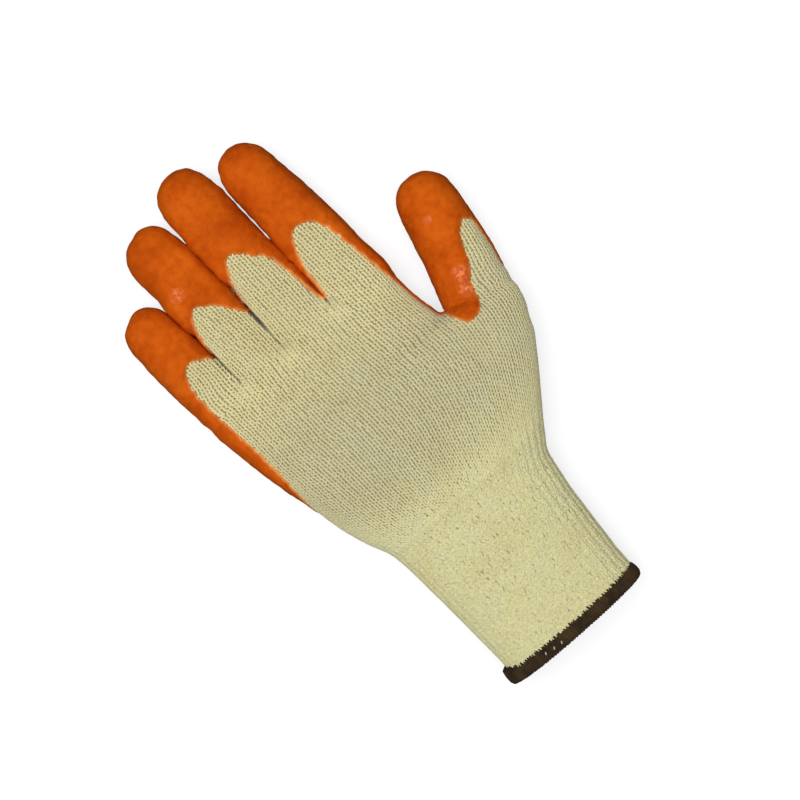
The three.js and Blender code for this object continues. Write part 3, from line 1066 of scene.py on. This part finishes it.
# The pieces of the hand and of the cuff share one course by the wrist
back_rows = hand_rows(1)
under_rows = hand_rows(-1)
wrist = int(np.argmax(HEIGHTS > CUFF_LENGTH))
upper_rows = back_rows[wrist - 1:]
palm_rows = part_of(upper_rows, 0, PALM_WALES) + knuckle_rows()
knit_piece("back_stitches", [palm_rows], "knit", knit_yarn)
thumb_rows = part_of(upper_rows, PALM_WALES, PALM_WALES + THUMB_WALES) + thumb_courses()
knit_piece("thumb_stitches", [thumb_rows], "knit", knit_yarn)
finger_grids, first = [], 0
for name in FINGERS:
    last = first + DIGITS[name]["wales"]
    root_row = part_of(palm_rows[-1:], first, last)
    finger_grids.append(root_row + finger_rows(name, root_row[0][0][:, 0]))
    first = last
knit_piece("finger_stitches", finger_grids, "knit", knit_yarn)
knit_piece("palm_stitches", [under_rows[wrist - 1:]], "knit", knit_yarn)
knit_piece("cuff_stitches_back", [back_rows[:wrist + 1]], "cuff_knit", cuff_yarn)
knit_piece("cuff_stitches_palm", [under_rows[:wrist + 1]], "cuff_knit", cuff_yarn)

# Overlocked hem

# Steps round the hem, where its rim lies, and where the knit's surface is taken from
HEM_TURNS = 190
HEM_RIM = 2.4
HEM_RING = 8.0
LOOP_STEPS = 720
# Profile of the hem from the inside of the cuff round the rim to its outer edge:
# distance from the rim and height over the knit's surface
HEM_PROFILE = [
    (5.8, -2.9), (4.6, -3.4), (2.4, -3.5), (0.8, -3.0), (0.1, -1.9), (0.0, -0.7), (0.5, 0.3), (1.7, 0.85),
    (3.4, 0.9), (4.9, 0.55), (5.8, -0.1), (5.6, -0.9),
]
# Threads wrapped round it, and places round the hem for each of them
HEM_WRAPS = 122
WRAP_STEPS = 8
# How far round the cuff one thread travels from the inside of the hem to its outer edge
WRAP_TRAVEL = 1.7
THREAD_WIDE = 0.46
THREAD_HIGH = 0.3
THREAD_SIDES = 5
# Pale ends of thread on the hem, in plan
SPECKS = [(-17.2, 5.7), (-13.3, 5.2), (-9.6, 5.0)]
# The hem's little-finger end: where it sets in, and how much longer and higher it is
THICK_END = (28, 34)
THICK_LENGTH = 0.3
THICK_HEIGHT = 1.9


def cuff_loop(count):
    """Points round the cuff at equal steps, with their outward directions."""
    centre = Vector((0.0, HEM_RING, SIDE_HEIGHT))
    points, normals = [], []
    for turn in np.linspace(0, 2 * math.pi, LOOP_STEPS, endpoint=False):
        hit, normal, _, _ = skin.ray_cast(centre, Vector((math.cos(turn), 0, math.sin(turn))))
        points.append(hit)
        normals.append(normal)
    points, normals = np.array(points), np.array(normals)
    points[:, 1] = 0
    normals[:, 1] = 0
    points = np.vstack([points, points[:1]])
    normals = unit(np.vstack([normals, normals[:1]]))
    lengths = arc_lengths(points)
    return at_lengths(points, normals, lengths, np.linspace(0, lengths[-1], count, endpoint=False))


def hem_surface(ring, out):
    """Points of the hem's profile at each place round the cuff; its little-finger end is thicker."""
    left = ramp(-ring[:, 0], *THICK_END)
    points = []
    for along, height in HEM_PROFILE:
        reach = HEM_RIM + along * (1 + THICK_LENGTH * left * (along > 3))
        lift = height + THICK_HEIGHT * left * (height > 0)
        points.append(ring + out * lift[:, None] + np.array([0, 1, 0]) * reach[:, None])
    return np.stack(points, axis=1)


def make_hem():
    points = hem_surface(*cuff_loop(HEM_TURNS))
    sections = len(HEM_PROFILE)
    faces = []
    for i in range(HEM_TURNS):
        n = (i + 1) % HEM_TURNS
        for s in range(sections):
            t = (s + 1) % sections
            faces.append([i * sections + s, n * sections + s, n * sections + t, i * sections + t])
    return points.reshape(-1, 3), faces


def tube(path, up, wide, high):
    """A closed tube of thread along a path, thinner at both ends."""
    along = unit(np.gradient(path, axis=0))
    across = unit(np.cross(along, up))
    above = np.cross(across, along)
    turns = 2 * np.pi * np.arange(THREAD_SIDES) / THREAD_SIDES
    taper = np.ones(len(path))
    taper[[0, -1]] = 0.35
    verts = (path[:, None]
             + (wide * taper)[:, None, None] * np.cos(turns)[None, :, None] * across[:, None]
             + (high * taper)[:, None, None] * np.sin(turns)[None, :, None] * above[:, None])
    faces = [list(range(THREAD_SIDES))[::-1]]
    for i in range(len(path) - 1):
        for s in range(THREAD_SIDES):
            t = (s + 1) % THREAD_SIDES
            a, b = i * THREAD_SIDES, (i + 1) * THREAD_SIDES
            faces.append([a + s, a + t, b + t, b + s])
    faces.append([(len(path) - 1) * THREAD_SIDES + s for s in range(THREAD_SIDES)])
    return verts.reshape(-1, 3), faces


def make_wraps():
    """Threads wrapped round the hem at a slant; their outer ends make its toothed edge."""
    ring, out = cuff_loop(HEM_WRAPS * WRAP_STEPS)
    surface = hem_surface(ring, out)
    centre = surface.mean(axis=1, keepdims=True)
    length = np.linalg.norm(ring[1] - ring[0])
    sections = np.arange(len(HEM_PROFILE))
    parts = []
    for i in range(HEM_WRAPS):
        travel = WRAP_TRAVEL / length * sections / sections[-1]
        jitter = random.uniform(-1.5, 1.5)
        places = np.round(i * WRAP_STEPS + travel + jitter).astype(int) % len(ring)
        path = surface[places, sections].copy()
        path[-3:, 1] += random.uniform(0.0, 0.55) + 0.3 * (i % 2)
        size = random.uniform(0.85, 1.15)
        parts.append(tube(path, unit(path - centre[places, 0]), THREAD_WIDE * size, THREAD_HIGH * size))
    return joined(parts)


def make_specks():
    ring, out = cuff_loop(HEM_TURNS * 4)
    surface = hem_surface(ring, out)
    upper = ring[:, 2] > SIDE_HEIGHT
    parts = []
    for x, y in SPECKS:
        place = int(np.argmin(np.abs(ring[:, 0] - x) + 100 * ~upper))
        top = surface[place, 8] + out[place] * 0.28
        reach = np.array([-0.6, -0.2, 0.2, 0.6])
        path = top + np.column_stack([0.5 * reach, y + reach - top[1], -0.35 * reach ** 2])
        parts.append(tube(path, np.repeat(out[place][None], 4, axis=0), 0.38, 0.28))
    return joined(parts)


hem = link("hem_band", mesh_from("hem_band", *make_hem()))
dress(hem, "hem_thread", hem_yarn)
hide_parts("cuff_hem")
dress(link("hem_wraps", mesh_from("hem_wraps", *make_wraps())), "hem_thread", hem_yarn)
dress(link("hem_specks", mesh_from("hem_specks", *make_specks())), "hem_thread", pale_thread)

# Floor, light and camera


def stage_material():
    material, nodes, links, surface = shader("pale_floor")
    coordinate = nodes.new("ShaderNodeTexCoord")
    grain = noise_node(nodes, links, coordinate, 60.0, 2.0, 0.5)
    tone = ramp_node(nodes, links, grain.outputs["Fac"], [(0.3, (0.33,) * 3), (0.7, (0.36,) * 3)])
    links.new(tone.outputs["Color"], surface.inputs["Base Color"])
    surface.inputs["Emission Color"].default_value = (1.0, 1.0, 1.0, 1)
    surface.inputs["Emission Strength"].default_value = 0.68
    surface.inputs["Roughness"].default_value = 0.9
    surface.inputs["Specular IOR Level"].default_value = 0.1
    return material


# Half of the floor's side, in metres
FLOOR = 12

floor_mesh = bpy.data.meshes.new("floor")
floor_corners = [(-FLOOR, -FLOOR, 0), (FLOOR, -FLOOR, 0), (FLOOR, FLOOR, 0), (-FLOOR, FLOOR, 0)]
floor_mesh.from_pydata(floor_corners, [], [(0, 1, 2, 3)])
floor = link("floor", floor_mesh)
floor.data.materials.append(stage_material())
# The bright floor is a plain backdrop that throws no light up at the glove's sides
floor.visible_diffuse = False
floor.visible_glossy = False

world = bpy.data.worlds.new("studio")
bpy.context.scene.world = world
world.use_nodes = True
world_nodes, world_links = world.node_tree.nodes, world.node_tree.links
sky_way = world_nodes.new("ShaderNodeTexCoord")
sky_height = world_nodes.new("ShaderNodeSeparateXYZ")
world_links.new(sky_way.outputs["Generated"], sky_height.inputs["Vector"])
sky = ramp_node(world_nodes, world_links, sky_height.outputs["Z"], [(0.0, (0.06,) * 3), (0.9, (1.0,) * 3)])
world_links.new(sky.outputs["Color"], world_nodes["Background"].inputs["Color"])
world_nodes["Background"].inputs["Strength"].default_value = 0.82


def area_light(name, place, size, watts):
    data = bpy.data.lights.new(name, "AREA")
    data.size = size
    data.energy = watts
    light = link(name, data)
    light.location = place
    light.rotation_euler = (-Vector(place)).to_track_quat("-Z", "Y").to_euler()


area_light("key", (-0.55, 0.5, 1.6), 1.2, 15.0)
area_light("top", (0.0, -0.2, 1.8), 1.0, 8.0)

# The camera looks straight down; the picture's axes are turned against the glove's
PICTURE_CENTRE = np.array([5.8, 119.4, 15.0])
PICTURE_WIDTH = 322.7
CAMERA_HEIGHT = 735.0
ROLL = math.radians(41.44)
SENSOR = 36.0

camera_data = bpy.data.cameras.new("camera")
camera_data.sensor_width = SENSOR
camera_data.lens = SENSOR * CAMERA_HEIGHT / PICTURE_WIDTH
camera_data.clip_start = 0.01
camera = link("camera", camera_data)
camera.location = to_row(PICTURE_CENTRE + np.array([0, 0, CAMERA_HEIGHT]))
camera.rotation_euler = (0, 0, -ROLL)
bpy.context.scene.camera = camera
bpy.context.scene.view_settings.view_transform = "Standard"
